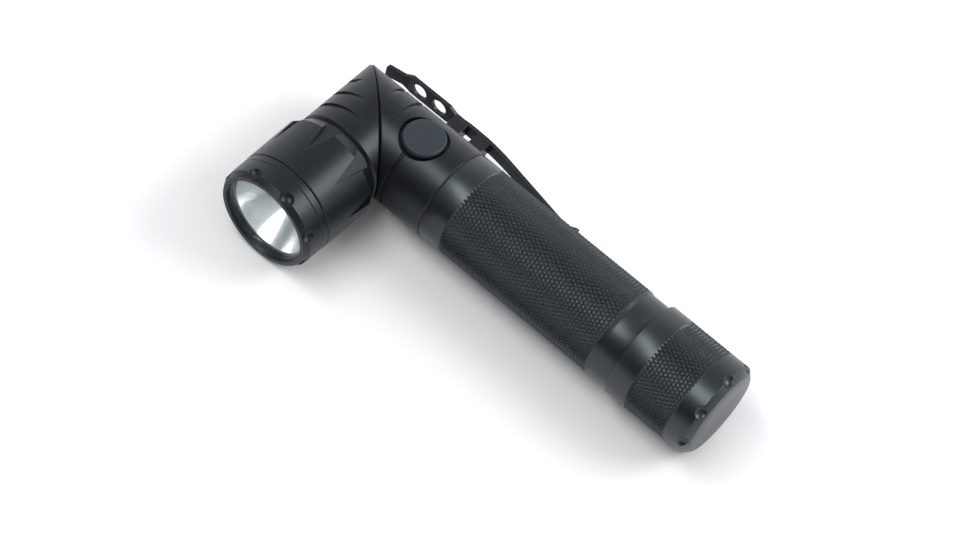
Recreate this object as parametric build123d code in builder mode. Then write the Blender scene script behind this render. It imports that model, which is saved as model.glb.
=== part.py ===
"""Right-angle tactical flashlight: a tube for one round cell and a head that swivels on a 45 degree joint."""

import os
from math import cos, radians, sin, sqrt, tan

from build123d import *

os.makedirs("parts", exist_ok=True)

# ---------------------------------------------------------------- driving sizes, mm
# Cell and handle. Distances along the handle run from the corner where its axis meets the head's.
cell_radius = 9.2
cell_length = 65.2
nub_radius = 3.0
nub_length = 1.5
cell_clearance = 0.5
tube_wall = 3.1
elbow_length = 27.3
elbow_step = 0.25
band_step = 0.4
knurl_start_gap = 7.0
knurl_end_gap = 7.1
thread_clearance = 0.1
thread_length = 7.0
joint_wall = 1.4
edge_break = 0.25
seal_wire = 0.5
seal_clearance = 0.04
seal_edge_gap = 1.0

# Tail cap
cap_length = 25.8
cap_step = 0.65
cap_end_wall = 5.8
cap_face_step = 1.85
cap_face_bevel = 1.6
cap_cavity_step = 1.2
cap_gap = 0.1
tail_spring_length = 9.6
tail_board_thickness = 1.6
retainer_thickness = 1.5
retainer_width = 2.0
scallop_count = 8
tail_scallop_radius = 2.4
tail_scallop_depth = 1.4
tail_scallop_edge = 0.7
tail_scallop_turn = -2.5

# Swivel joint, along its own axis through the corner
mitre_gap = 0.2
mitre_floor = 3.0
mitre_break = 0.35
hub_radius = 4.8
hub_bore = 3.0
running_clearance = 0.05
hub_flange_thickness = 1.4
washer_thickness = 0.5
nut_thickness = 2.2
nut_margin = 0.9
seal_groove_gap = 3.2
detent_edge = 1.9
ball_radius = 0.75
ball_proud = 0.25
stop_pin_radius = 0.6
stop_slot_depth = 1.3
stop_slot_margin = 0.1
stop_pin_grip = 1.8
stop_pin_end_gap = 0.2
nut_seat_step = 0.4
nut_slot_width = 1.2
nut_slot_depth = 0.9
ball_pocket_wall = 0.6

# Spring-loaded contact through the hub
disc_setback = 1.3
disc_radius = 2.0
disc_thickness = 0.7
disc_stem_radius = 0.6
plunger_radius = 1.2
plunger_reach = 2.4
contact_spring_length = 1.4
head_turn = 180.0

# Head. Distances along the head run from the same corner.
neck_margin = 0.35
neck_step = 0.55
head_flare_length = 3.9
head_step = 0.1
body_wall = 0.85
body_step = 0.4
bezel_length = 8.3
bezel_wall = 1.65
bezel_line = 2.0
bezel_line_width = 0.3
bezel_line_depth = 0.2
bezel_bevel = 1.5
bezel_rim_wall = 1.35
bezel_mouth_flare = 0.25
bezel_spigot_length = 5.9
bezel_spigot_wall = 0.8
seal_seat_width = 0.35
seal_seat_length = 0.6
lens_radius = 12.65
lens_thickness = 1.5
lens_clearance = 0.1
lip_overlap = 0.6
lip_back = 0.9
gasket_thickness = 0.4
reflector_depth = 13.4
reflector_margin = 1.1
reflector_back_wall = 2.2
bowl_hole = 2.9
reflector_flange = 1.2
reflector_wall = 0.7
bowl_sink = 0.63
shelf_gap = 1.0
shelf_thickness = 2.9
wire_hole_radius = 2.5
board_thickness = 1.5
board_margin = 0.6
led_gap = 1.6
package_size = 3.45
package_height = 0.7
dome_radius = 1.5
spacer_wall = 1.6
dart_count = 8
dart_turn = -7.0
dart_length = 8.7
dart_run_out = 2.0
dart_spread = 0.22
dart_slope = 0.15
bezel_scallop_radius = 2.4
bezel_scallop_depth = 1.25
bezel_scallop_turn = 19.0
bezel_scallop_edge = 1.3
elbow_spigot_length = 4.2
rear_bore_step = 1.55
neck_seal_gap = 1.9
driver_board_thickness = 1.2
driver_part_height = 1.4
driver_ring_width = 1.6

# Grooves across the outside of the elbow pieces
rib_width = 1.35
rib_depth = 0.9
rib_fade = 4.2
handle_ribs = (0.0, 5.9)
head_ribs = (-3.5, 2.1, 7.4)
inner_line_width = 1.3
inner_line_place = 13.95
inner_line_fade = 4.6

# Side switch
button_place = 15.4
button_radius = 5.7
button_gap = 0.9
button_proud = 0.7
button_travel = 0.8
button_end_gap = 0.1
button_floor_wall = 1.7
button_round = 0.7
stem_radius = 2.6
button_pocket_radius = 4.3
button_pocket_step = 0.3
button_ring_radius = 3.6
button_ring_thickness = 0.55
button_groove_depth = 0.4
button_seal_gap = 0.3
button_seal_height = 0.6
button_stem_reach = 1.3
actuator_radius = 1.5
switch_size = 6.0
switch_height = 3.4
switch_board_thickness = 1.0
switch_board_length = 13.0
switch_board_width = 8.5
switch_gap = 0.2
carrier_gap = 0.4

# Pocket clip on the outer side, measured from the handle's axis
clip_thickness = 0.9
clip_stand = 4.85
clip_toe = -10.0
clip_toe_drop = 1.4
clip_toe_bend = -3.2
clip_flat_end = 20.0
clip_bend_radius = 60.0
clip_slope = 10.5
clip_touch_gap = 0.1
clip_flare_radius = 5.0
clip_flare = 38.0
clip_lip = 1.6
clip_plate_half = 3.2
clip_arm_half = 2.15
clip_tip_half = 1.75
clip_hole_radius = 2.25
clip_hole_place = 0.4
clip_hole_spacing = 6.65
clip_corner = 0.8
clip_waist_cut = 0.25
clip_lobe_margin = 0.7
clip_taper_run = 2.4
saddle_front = 12.05
saddle_post = 4.3
saddle_window = 3.3
saddle_half = 2.0
saddle_sink = 1.1
saddle_base_thickness = 2.0
saddle_clearance = 0.1
saddle_lip = 0.3
screw_radius = 1.0
screw_head_radius = 1.5
screw_head_height = 0.35
screw_depth = 1.7
screw_socket_depth = 0.6
screw_socket_radius = 0.65
screw_clearance = 0.05

# Front contact
contact_seat_step = 0.3
contact_shoulder = 0.45
contact_board_thickness = 1.2
contact_ring_width = 1.8
front_spring_length = 4.2

# ---------------------------------------------------------------- sizes that follow
tube_bore = cell_radius + cell_clearance
tube_radius = tube_bore + tube_wall
tail_band_radius = tube_radius - band_step
elbow_radius = tube_radius + elbow_step
cap_radius = tube_radius + cap_step
spigot_socket_radius = tube_radius - joint_wall
spigot_radius = spigot_socket_radius - thread_clearance
spigot_bore = cell_radius + cell_clearance - thread_clearance
cavity_radius = spigot_bore - contact_shoulder
cap_bore = spigot_radius + thread_clearance
cap_cavity_radius = cap_bore - cap_cavity_step

board_seat = elbow_length + contact_seat_step
board_end = board_seat + contact_board_thickness
nub_start = board_end + front_spring_length
cell_end = nub_start + cell_length
tail_board_start = cell_end + tail_spring_length
tail_board_end = tail_board_start + tail_board_thickness
tail_face = tail_board_end + cap_end_wall
cap_seam = tail_face - cap_length
tail_spigot_end = cap_seam + thread_length

hub_end = mitre_floor + washer_thickness + nut_thickness
nut_radius = sqrt(2) * cavity_radius - hub_end - nut_margin
seal_groove_inner = hub_radius + seal_groove_gap
detent_radius = elbow_radius - detent_edge

bezel_bore = lens_radius + lens_clearance
bezel_radius = bezel_bore + bezel_wall
bezel_spigot_radius = bezel_bore + bezel_spigot_wall
body_bore = bezel_spigot_radius + thread_clearance
board_bore = lens_radius - body_step
seal_seat_radius = bezel_spigot_radius + seal_seat_width
head_front_radius = body_bore + body_wall
head_radius = head_front_radius + head_step
aperture = lens_radius - lip_overlap
bezel_rim_radius = aperture + bezel_rim_wall
reflector_mouth = lens_radius - reflector_margin

neck_length = elbow_radius + neck_margin
neck_radius = elbow_radius - neck_step
rear_bore_radius = cavity_radius + rear_bore_step
spigot_tip = neck_length + elbow_spigot_length
shelf_back = spigot_tip + shelf_gap
led_board_back = shelf_back + shelf_thickness
led_board_front = led_board_back + board_thickness
reflector_back = led_board_front + led_gap
lens_back = reflector_back + reflector_depth
lens_front = lens_back + lens_thickness
lip_start = lens_front + gasket_thickness
head_length = lip_start + lip_back
bezel_seam = head_length - bezel_length
bezel_spigot_end = bezel_seam - bezel_spigot_length
bezel_line_start = bezel_seam + bezel_line
bezel_bevel_start = head_length - bezel_bevel
head_rear = neck_length + head_flare_length
dart_tip = head_rear + dart_length
dart_back = neck_length - dart_run_out
parabola_start = reflector_back - bowl_sink
focal_length = reflector_mouth ** 2 / (4 * (lens_back - parabola_start))

button_top = elbow_radius + button_proud
button_floor = cavity_radius + button_floor_wall
button_cap_height = button_top - button_floor - button_travel - button_end_gap
button_cap_base = button_top - button_cap_height
button_pocket_top = cavity_radius + button_pocket_step
stem_end = cavity_radius - button_stem_reach
stem_core = stem_radius - button_groove_depth

saddle_seat = elbow_radius - saddle_sink
clip_inner = elbow_radius + clip_stand
clip_outer = clip_inner + clip_thickness
clip_outermost = clip_outer + screw_head_height

# The origin is under the middle of the box around everything, on the surface it lies on.
corner_x = -(tail_face - head_radius) / 2
corner_y = -(clip_outermost - head_length) / 2
corner_z = head_radius
corner = Vector(corner_x, corner_y, corner_z)

HANDLE = Plane(origin=corner, x_dir=(1, 0, 0), z_dir=(0, -1, 0))
HEAD = Plane(origin=corner, x_dir=(0, -1, 0), z_dir=(-1, 0, 0))
SWIVEL = Plane(origin=corner, x_dir=(-1, -1, 0), z_dir=(-1, 1, 0))
MITRE = Plane(origin=corner, x_dir=(1, -1, 0), z_dir=(-1, -1, 0))
CLIP = Plane(origin=corner)
handle_axis = Axis(corner, (1, 0, 0))
head_axis = Axis(corner, (0, 1, 0))
swivel_axis = Axis(corner, (-1, -1, 0))


# ---------------------------------------------------------------- shared shapes
def outline(plane, *points):
    """Closed outline drawn on a plane."""
    with BuildSketch(plane) as drawn:
        with BuildLine():
            Polyline(*points, close=True)
        make_face()
    return drawn.sketch


def band(plane, start, end, inner, outer):
    """Section of a plain ring, or of a disc when inner is nought, between two places along an axis."""
    return outline(plane, (start, inner), (end, inner), (end, outer), (start, outer))


def seal_section(plane, place, radius, wire):
    """Section of a round-wire sealing ring."""
    with BuildSketch(plane) as drawn:
        with Locations((place, radius)):
            Circle(wire)
    return drawn.sketch


def around(solid, axis, first, count):
    """Copies of a cutter, evenly spaced around an axis."""
    return [solid.rotate(axis, first + 360 / count * number) for number in range(count)]


def fading_ring(plane, outer, depth, fade):
    """Crescent that is depth deep where local x is largest and runs out where local x falls to fade."""
    floor = outer - depth
    shift = (outer ** 2 - floor ** 2) / (2 * (floor - fade))
    with BuildSketch(plane) as drawn:
        Circle(outer + depth)
        with Locations((-shift, 0)):
            Circle(floor + shift, mode=Mode.SUBTRACT)
        with Locations((fade - outer - depth, 0)):
            Rectangle(2 * (outer + depth), 4 * outer, mode=Mode.SUBTRACT)
    return drawn.sketch


def coil(plane, start, end, radius, wire, turns):
    """Compression spring with open ends, along the local x of a plane."""
    first = plane.from_local_coords((start + wire, 0, 0))
    free = end - start - 2 * wire
    with BuildPart() as spring:
        with BuildLine() as path:
            Helix(free / turns, free, radius, center=tuple(first), direction=tuple(plane.x_dir))
        with BuildSketch(Plane(origin=path.line @ 0, z_dir=path.line % 0)):
            Circle(wire)
        sweep(is_frenet=True)
    return spring.part


def finish_piece(piece, name):
    """Label a piece and write it."""
    piece.label = name
    export_step(piece, f"parts/{name}.step")


# ---------------------------------------------------------------- elbow of the handle
with BuildPart() as handle_cavity:
    revolve(band(HANDLE, -elbow_radius, elbow_length + 1, 0, cavity_radius), axis=handle_axis)
    split(bisect_by=MITRE.offset(-mitre_floor), keep=Keep.BOTTOM)

saddle_end = saddle_front + 2 * saddle_post + saddle_window + 2 * saddle_lip
screw_places = (
    saddle_front + saddle_lip + saddle_post / 2,
    saddle_end - saddle_lip - saddle_post / 2,
)
ball_place = (0, -detent_radius)
stop_arc = CenterArc((0, 0), detent_radius, 0, head_turn)

with BuildPart() as handle_elbow:
    revolve(band(HANDLE, -1.5 * elbow_radius, elbow_length, 0, elbow_radius), axis=handle_axis)
    split(bisect_by=MITRE.offset(-mitre_gap / 2), keep=Keep.BOTTOM)
    chamfer(handle_elbow.edges().sort_by(Axis.X)[-1], edge_break)
    mitre_face = handle_elbow.faces().filter_by(Axis((0, 0, 0), (1, 1, 0))).sort_by(Axis.X)[0]
    chamfer(mitre_face.edges(), mitre_break)
    spigot_end = elbow_length + thread_length
    revolve(band(HANDLE, elbow_length - 1, spigot_end, 0, spigot_radius), axis=handle_axis)
    add(handle_cavity.part, mode=Mode.SUBTRACT)
    revolve(band(HANDLE, board_seat, spigot_end + 1, 0, spigot_bore), axis=handle_axis, mode=Mode.SUBTRACT)
    # Bearing bore, detent pocket and the arc that the stop pin runs in
    revolve(
        band(SWIVEL, -mitre_floor - 1, 0, 0, hub_radius + running_clearance),
        axis=swivel_axis,
        mode=Mode.SUBTRACT,
    )
    with BuildSketch(MITRE.offset(-mitre_gap / 2)):
        with Locations(ball_place):
            Circle(ball_radius + running_clearance)
    extrude(amount=-(mitre_floor - ball_pocket_wall), mode=Mode.SUBTRACT)
    with BuildSketch(MITRE.offset(-mitre_gap / 2)):
        SlotArc(stop_arc, 2 * (stop_pin_radius + stop_slot_margin))
    extrude(amount=-stop_slot_depth, mode=Mode.SUBTRACT)
    # Ribs left between grooves on the outer side, and the line across the inner side
    for place in handle_ribs:
        rib_plane = Plane(origin=corner + (place, 0, 0), x_dir=(0, 1, 0), z_dir=(1, 0, 0))
        extrude(
            fading_ring(rib_plane, elbow_radius, rib_depth, rib_fade - place),
            amount=rib_width,
            mode=Mode.SUBTRACT,
        )
    line_plane = Plane(origin=corner + (inner_line_place, 0, 0), x_dir=(0, -1, 0), z_dir=(1, 0, 0))
    extrude(
        fading_ring(line_plane, elbow_radius, rib_depth, inner_line_fade),
        amount=inner_line_width,
        mode=Mode.SUBTRACT,
    )
    # Recess, bore and inner pocket of the button
    button_base = Plane(origin=corner + (button_place, 0, 0))
    with BuildSketch(button_base.offset(button_floor)):
        Circle(button_radius + button_gap)
    extrude(amount=elbow_radius, mode=Mode.SUBTRACT)
    with BuildSketch(button_base.offset(cavity_radius / 2)):
        Circle(stem_radius + running_clearance)
    extrude(amount=elbow_radius, mode=Mode.SUBTRACT)
    with BuildSketch(button_base.offset(button_pocket_top)):
        Circle(button_pocket_radius)
    extrude(amount=-cavity_radius / 2, mode=Mode.SUBTRACT)
    # Seat for the clip's saddle, with two blind screw holes
    seat_plane = Plane(origin=corner + (0, saddle_seat, 0), x_dir=(1, 0, 0), z_dir=(0, 1, 0))
    with BuildSketch(seat_plane):
        with Locations(((saddle_front + saddle_end) / 2, 0)):
            RectangleRounded(
                saddle_end - saddle_front + 2 * saddle_clearance,
                2 * (saddle_half + saddle_lip + saddle_clearance),
                saddle_lip,
            )
    extrude(amount=elbow_radius, mode=Mode.SUBTRACT)
    with BuildSketch(seat_plane):
        with Locations(*[(place, 0) for place in screw_places]):
            Circle(screw_radius + screw_clearance)
    extrude(amount=-screw_depth - screw_clearance, mode=Mode.SUBTRACT)
    # Groove for the seal between elbow and tube
    seal_place = elbow_length + 2 * seal_wire + seal_edge_gap
    seal_floor = spigot_socket_radius - 2 * seal_wire
    revolve(
        band(HANDLE, seal_place - 1.4 * seal_wire, seal_place + 1.4 * seal_wire, seal_floor, tube_radius),
        axis=handle_axis,
        mode=Mode.SUBTRACT,
    )
finish_piece(handle_elbow.part, "handle_elbow")

with BuildPart() as tube_front_seal:
    wire = seal_wire - seal_clearance
    revolve(seal_section(HANDLE, seal_place, seal_floor + seal_wire, wire), axis=handle_axis)
finish_piece(tube_front_seal.part, "tube_front_seal")

# ---------------------------------------------------------------- battery tube and cell
knurl_start = elbow_length + knurl_start_gap
knurl_end = cap_seam - knurl_end_gap
cap_seal_place = cap_seam + 2 * seal_wire + seal_edge_gap
cap_seal_floor = cap_bore - 2 * seal_wire

with BuildPart() as battery_tube:
    revolve(
        outline(
            HANDLE,
            (elbow_length, spigot_socket_radius),
            (elbow_length + thread_length + thread_clearance, spigot_socket_radius),
            (elbow_length + thread_length + thread_clearance, tube_bore),
            (tail_spigot_end, tube_bore),
            (tail_spigot_end, spigot_radius),
            (cap_seam, spigot_radius),
            (cap_seam, tail_band_radius - edge_break),
            (cap_seam - edge_break, tail_band_radius),
            (knurl_end + band_step, tail_band_radius),
            (knurl_end, tube_radius),
            (elbow_length + edge_break, tube_radius),
            (elbow_length, tube_radius - edge_break),
        ),
        axis=handle_axis,
    )
    revolve(
        band(
            HANDLE,
            cap_seal_place - 1.4 * seal_wire,
            cap_seal_place + 1.4 * seal_wire,
            cap_seal_floor,
            tube_radius,
        ),
        axis=handle_axis,
        mode=Mode.SUBTRACT,
    )
finish_piece(battery_tube.part, "battery_tube")

with BuildPart() as tube_rear_seal:
    wire = seal_wire - seal_clearance
    revolve(seal_section(HANDLE, cap_seal_place, cap_seal_floor + seal_wire - seal_clearance, wire), axis=handle_axis)
finish_piece(tube_rear_seal.part, "tube_rear_seal")

with BuildPart() as battery_cell:
    revolve(band(HANDLE, nub_start + nub_length, cell_end, 0, cell_radius), axis=handle_axis)
    fillet(battery_cell.edges().filter_by(GeomType.CIRCLE), edge_break)
finish_piece(battery_cell.part, "battery_cell")

with BuildPart() as battery_terminal:
    revolve(band(HANDLE, nub_start, nub_start + nub_length, 0, nub_radius), axis=handle_axis)
    chamfer(battery_terminal.edges().sort_by(Axis.X)[0], edge_break)
finish_piece(battery_terminal.part, "battery_terminal")

# ---------------------------------------------------------------- front contact
with BuildPart() as front_contact_board:
    revolve(band(HANDLE, board_seat, board_end, 0, spigot_bore - running_clearance), axis=handle_axis)
finish_piece(front_contact_board.part, "front_contact_board")

with BuildPart() as contact_ring:
    ring_outer = spigot_bore - running_clearance
    revolve(
        band(HANDLE, board_end, board_end + retainer_thickness, ring_outer - contact_ring_width, ring_outer),
        axis=handle_axis,
    )
finish_piece(contact_ring.part, "contact_ring")

finish_piece(
    coil(HANDLE, board_end, nub_start, nub_radius, 0.35, 3.5),
    "front_contact_spring",
)

# ---------------------------------------------------------------- tail cap
with BuildPart() as tail_scallop:
    ball_height = cap_radius - tail_scallop_depth + tail_scallop_radius
    with Locations(corner + (tail_face - tail_scallop_edge, 0, ball_height)):
        Sphere(tail_scallop_radius)

with BuildPart() as tail_cap:
    revolve(
        outline(
            HANDLE,
            (cap_seam + cap_gap, cap_bore),
            (tail_spigot_end + 1, cap_bore),
            (tail_spigot_end + 1, cap_cavity_radius),
            (tail_board_end, cap_cavity_radius),
            (tail_board_end, 0),
            (tail_face, 0),
            (tail_face, cap_radius - cap_face_step),
            (tail_face - cap_face_bevel, cap_radius),
            (cap_seam + cap_gap + edge_break, cap_radius),
            (cap_seam + cap_gap, cap_radius - edge_break),
        ),
        axis=handle_axis,
    )
    add(around(tail_scallop.part, handle_axis, tail_scallop_turn, scallop_count), mode=Mode.SUBTRACT)
finish_piece(tail_cap.part, "tail_cap")

with BuildPart() as tail_ring:
    ring_start = tail_board_start - retainer_thickness
    revolve(
        band(HANDLE, ring_start, tail_board_start, cap_cavity_radius - retainer_width, cap_cavity_radius - running_clearance),
        axis=handle_axis,
    )
finish_piece(tail_ring.part, "tail_ring")

with BuildPart() as tail_board:
    revolve(
        band(HANDLE, tail_board_start, tail_board_end, 0, cap_cavity_radius - 2 * running_clearance),
        axis=handle_axis,
    )
finish_piece(tail_board.part, "tail_board")

finish_piece(coil(HANDLE, cell_end, tail_board_start, 5.0, 0.5, 4.5), "tail_spring")

# ---------------------------------------------------------------- swivel joint
flange_end = mitre_floor + hub_flange_thickness

with BuildPart() as swivel_hub:
    revolve(
        outline(
            SWIVEL,
            (-hub_end, hub_bore),
            (flange_end, hub_bore),
            (flange_end, nut_radius),
            (mitre_floor, nut_radius),
            (mitre_floor, hub_radius),
            (-mitre_floor - washer_thickness, hub_radius),
            (-mitre_floor - washer_thickness, hub_radius - nut_seat_step),
            (-hub_end, hub_radius - nut_seat_step),
        ),
        axis=swivel_axis,
    )
finish_piece(swivel_hub.part, "swivel_hub")

with BuildPart() as swivel_washer:
    revolve(
        band(
            SWIVEL,
            -mitre_floor - washer_thickness,
            -mitre_floor - running_clearance,
            hub_radius + running_clearance,
            nut_radius,
        ),
        axis=swivel_axis,
    )
finish_piece(swivel_washer.part, "swivel_washer")

with BuildPart() as swivel_nut:
    revolve(
        band(SWIVEL, -hub_end, -mitre_floor - washer_thickness, hub_radius - nut_seat_step, nut_radius),
        axis=swivel_axis,
    )
    nut_face = Plane(origin=MITRE.from_local_coords((0, 0, -hub_end)), x_dir=MITRE.x_dir, z_dir=MITRE.z_dir)
    with BuildSketch(nut_face):
        Rectangle(3 * nut_radius, nut_slot_width)
    extrude(amount=nut_slot_depth, mode=Mode.SUBTRACT)
    add(swivel_hub.part, mode=Mode.SUBTRACT)
finish_piece(swivel_nut.part, "swivel_nut")

with BuildPart() as detent_ball:
    ball_centre = MITRE.from_local_coords((*ball_place, -mitre_gap / 2 + ball_proud - ball_radius))
    with Locations(ball_centre):
        Sphere(ball_radius)
finish_piece(detent_ball.part, "detent_ball")

pocket_line = Plane(
    origin=MITRE.from_local_coords((*ball_place, 0)), x_dir=SWIVEL.x_dir, z_dir=SWIVEL.z_dir
)
finish_piece(
    coil(
        pocket_line,
        -mitre_gap / 2 - mitre_floor + ball_pocket_wall + running_clearance,
        -mitre_gap / 2 + ball_proud - 2 * ball_radius,
        ball_radius - 0.2,
        0.12,
        2.5,
    ),
    "detent_spring",
)

with BuildPart() as stop_pin:
    with BuildSketch(MITRE.offset(-mitre_gap / 2 - stop_slot_depth + stop_pin_end_gap)):
        with Locations((detent_radius, 0)):
            Circle(stop_pin_radius)
    extrude(amount=mitre_gap + stop_slot_depth + stop_pin_grip - 1.5 * stop_pin_end_gap)
finish_piece(stop_pin.part, "stop_pin")

disc_back = mitre_floor - disc_setback
with BuildPart() as contact_cup:
    revolve(
        outline(
            SWIVEL,
            (disc_back - disc_thickness - 0.1, disc_radius),
            (disc_back, disc_radius),
            (disc_back, disc_stem_radius),
            (flange_end, disc_stem_radius),
            (flange_end, hub_bore),
            (disc_back - disc_thickness - 0.1, hub_bore),
        ),
        axis=swivel_axis,
    )
finish_piece(contact_cup.part, "contact_cup")

with BuildPart() as contact_disc:
    revolve(band(SWIVEL, disc_back - disc_thickness, disc_back, 0, disc_radius), axis=swivel_axis)
    revolve(band(SWIVEL, disc_back, flange_end + disc_stem_radius, 0, disc_stem_radius), axis=swivel_axis)
finish_piece(contact_disc.part, "contact_disc")

plunger_nose = disc_back - disc_thickness - running_clearance
plunger_back = -hub_end - plunger_reach
plunger_pocket_end = plunger_back - contact_spring_length
with BuildPart() as contact_plunger:
    revolve(band(SWIVEL, plunger_back, plunger_nose, 0, plunger_radius), axis=swivel_axis)
    fillet(contact_plunger.edges().sort_by(Axis.X)[0], 0.5)
finish_piece(contact_plunger.part, "contact_plunger")

finish_piece(coil(SWIVEL, plunger_pocket_end, plunger_back, 0.85, 0.14, 2.5), "contact_spring")

# ---------------------------------------------------------------- switch under the button
switch_top = stem_end - button_travel - switch_gap
board_top = switch_top - switch_height
board_base = board_top - switch_board_thickness

with BuildPart() as carrier_blank:
    revolve(
        band(HANDLE, -elbow_radius, board_seat, 0, cavity_radius - running_clearance),
        axis=handle_axis,
    )
    split(bisect_by=MITRE.offset(-hub_end - carrier_gap), keep=Keep.BOTTOM)
    split(bisect_by=CLIP.offset(board_top), keep=Keep.BOTTOM)

with BuildPart() as switch_carrier:
    add(carrier_blank.part)
    with BuildSketch(CLIP.offset(board_base)):
        with Locations((button_place, 0)):
            Rectangle(switch_board_length, switch_board_width)
    extrude(amount=switch_height, mode=Mode.SUBTRACT)
    revolve(
        band(SWIVEL, plunger_pocket_end, 0, 0, plunger_radius + running_clearance),
        axis=swivel_axis,
        mode=Mode.SUBTRACT,
    )
finish_piece(switch_carrier.part, "switch_carrier")

with BuildPart() as switch_board:
    with BuildSketch(CLIP.offset(board_base)):
        with Locations((button_place, 0)):
            Rectangle(switch_board_length - switch_gap, switch_board_width - switch_gap)
    extrude(amount=switch_board_thickness)
finish_piece(switch_board.part, "switch_board")

with BuildPart() as switch_body:
    with BuildSketch(CLIP.offset(board_top)):
        with Locations((button_place, 0)):
            Rectangle(switch_size, switch_size)
    extrude(amount=switch_height)
    with BuildSketch(CLIP.offset(switch_top)):
        with Locations((button_place, 0)):
            Circle(actuator_radius + running_clearance)
    extrude(amount=-2 * (button_travel + switch_gap), mode=Mode.SUBTRACT)
finish_piece(switch_body.part, "switch_body")

with BuildPart() as switch_plunger:
    with BuildSketch(CLIP.offset(stem_end)):
        with Locations((button_place, 0)):
            Circle(actuator_radius)
    extrude(amount=-2 * (button_travel + switch_gap))
finish_piece(switch_plunger.part, "switch_plunger")

with BuildPart() as button_cap:
    with BuildSketch(button_base.offset(button_cap_base)):
        Circle(button_radius)
    extrude(amount=button_cap_height)
    fillet(button_cap.edges().sort_by(Axis.Z)[-1], button_round)
    with BuildSketch(button_base.offset(stem_end)):
        Circle(stem_radius)
    extrude(amount=button_cap_base - stem_end)
    ring_top = button_pocket_top - running_clearance
    ring_base = ring_top - button_ring_thickness
    with BuildSketch(button_base.offset(ring_base)):
        Circle(stem_radius + 1)
        Circle(stem_core, mode=Mode.SUBTRACT)
    extrude(amount=button_ring_thickness, mode=Mode.SUBTRACT)
    seal_base = button_pocket_top + button_seal_gap
    with BuildSketch(button_base.offset(seal_base)):
        Circle(stem_radius + 1)
        Circle(stem_core, mode=Mode.SUBTRACT)
    extrude(amount=button_seal_height, mode=Mode.SUBTRACT)
finish_piece(button_cap.part, "button_cap")

with BuildPart() as button_ring:
    with BuildSketch(button_base.offset(ring_base)):
        Circle(button_ring_radius)
        Circle(stem_core, mode=Mode.SUBTRACT)
    extrude(amount=button_ring_thickness)
finish_piece(button_ring.part, "button_ring")

with BuildPart() as button_seal:
    with BuildSketch(button_base.offset(seal_base)):
        Circle(stem_radius + running_clearance / 2)
        Circle(stem_core, mode=Mode.SUBTRACT)
    extrude(amount=button_seal_height)
finish_piece(button_seal.part, "button_seal")

# ---------------------------------------------------------------- elbow of the head
with BuildPart() as head_cavity:
    revolve(band(HEAD, -elbow_radius, neck_length + elbow_spigot_length + 1, 0, cavity_radius), axis=head_axis)
    split(bisect_by=MITRE.offset(mitre_floor), keep=Keep.TOP)

elbow_spigot_radius = rear_bore_radius - thread_clearance
seal_ring_place = mitre_gap / 2 + seal_wire + seal_clearance
neck_seal_place = neck_length + neck_seal_gap
neck_seal_floor = rear_bore_radius - 2 * seal_wire

with BuildPart() as head_elbow:
    revolve(band(HEAD, -1.5 * elbow_radius, neck_length + 3, 0, elbow_radius), axis=head_axis)
    split(bisect_by=MITRE.offset(mitre_gap / 2), keep=Keep.TOP)
    face_of_head = head_elbow.faces().filter_by(Axis((0, 0, 0), (1, 1, 0))).sort_by(Axis.Y)[-1]
    chamfer(face_of_head.edges(), mitre_break)
    revolve(
        outline(
            HEAD,
            (neck_length - elbow_radius + neck_radius, elbow_radius),
            (neck_length, neck_radius),
            (neck_length, 0),
            (neck_length + 4, 0),
            (neck_length + 4, elbow_radius + 1),
            (neck_length - elbow_radius + neck_radius, elbow_radius + 1),
        ),
        axis=head_axis,
        mode=Mode.SUBTRACT,
    )
    revolve(band(HEAD, neck_length - 1, spigot_tip, 0, elbow_spigot_radius), axis=head_axis)
    add(head_cavity.part, mode=Mode.SUBTRACT)
    revolve(band(SWIVEL, 0, mitre_floor + 1, 0, hub_radius), axis=swivel_axis, mode=Mode.SUBTRACT)
    # Seal groove, ball track with its three rests, and the hole for the stop pin
    revolve(
        band(SWIVEL, 0, mitre_gap / 2 + 2 * seal_wire, seal_groove_inner, seal_groove_inner + 2.8 * seal_wire),
        axis=swivel_axis,
        mode=Mode.SUBTRACT,
    )
    track_floor = -mitre_gap / 2 + ball_proud + running_clearance
    revolve(
        band(SWIVEL, 0, track_floor, detent_radius - ball_radius, detent_radius + ball_radius),
        axis=swivel_axis,
        mode=Mode.SUBTRACT,
    )
    with Locations(
        *[
            MITRE.from_local_coords(
                (
                    detent_radius * cos(radians(turn)),
                    detent_radius * sin(radians(turn)),
                    -mitre_gap / 2 + ball_proud - ball_radius,
                )
            )
            for turn in (90, 180, 270)
        ]
    ):
        Sphere(ball_radius + 2 * running_clearance, mode=Mode.SUBTRACT)
    with BuildSketch(MITRE.offset(mitre_gap / 2)):
        with Locations((detent_radius, 0)):
            Circle(stop_pin_radius)
    extrude(amount=stop_pin_grip, mode=Mode.SUBTRACT)
    for place in head_ribs:
        rib_plane = Plane(origin=corner - (0, place, 0), x_dir=(-1, 0, 0), z_dir=(0, -1, 0))
        extrude(
            fading_ring(rib_plane, elbow_radius, rib_depth, rib_fade - place),
            amount=rib_width,
            mode=Mode.SUBTRACT,
        )
    revolve(
        band(
            HEAD,
            neck_seal_place - 1.4 * seal_wire,
            neck_seal_place + 1.4 * seal_wire,
            neck_seal_floor,
            elbow_radius,
        ),
        axis=head_axis,
        mode=Mode.SUBTRACT,
    )
finish_piece(head_elbow.part, "head_elbow")

with BuildPart() as swivel_seal:
    wire = seal_wire - seal_clearance
    revolve(
        seal_section(SWIVEL, seal_ring_place, seal_groove_inner + 1.4 * seal_wire, wire),
        axis=swivel_axis,
    )
finish_piece(swivel_seal.part, "swivel_seal")

with BuildPart() as neck_seal:
    wire = seal_wire - seal_clearance
    revolve(seal_section(HEAD, neck_seal_place, neck_seal_floor + seal_wire, wire), axis=head_axis)
finish_piece(neck_seal.part, "neck_seal")

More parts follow.
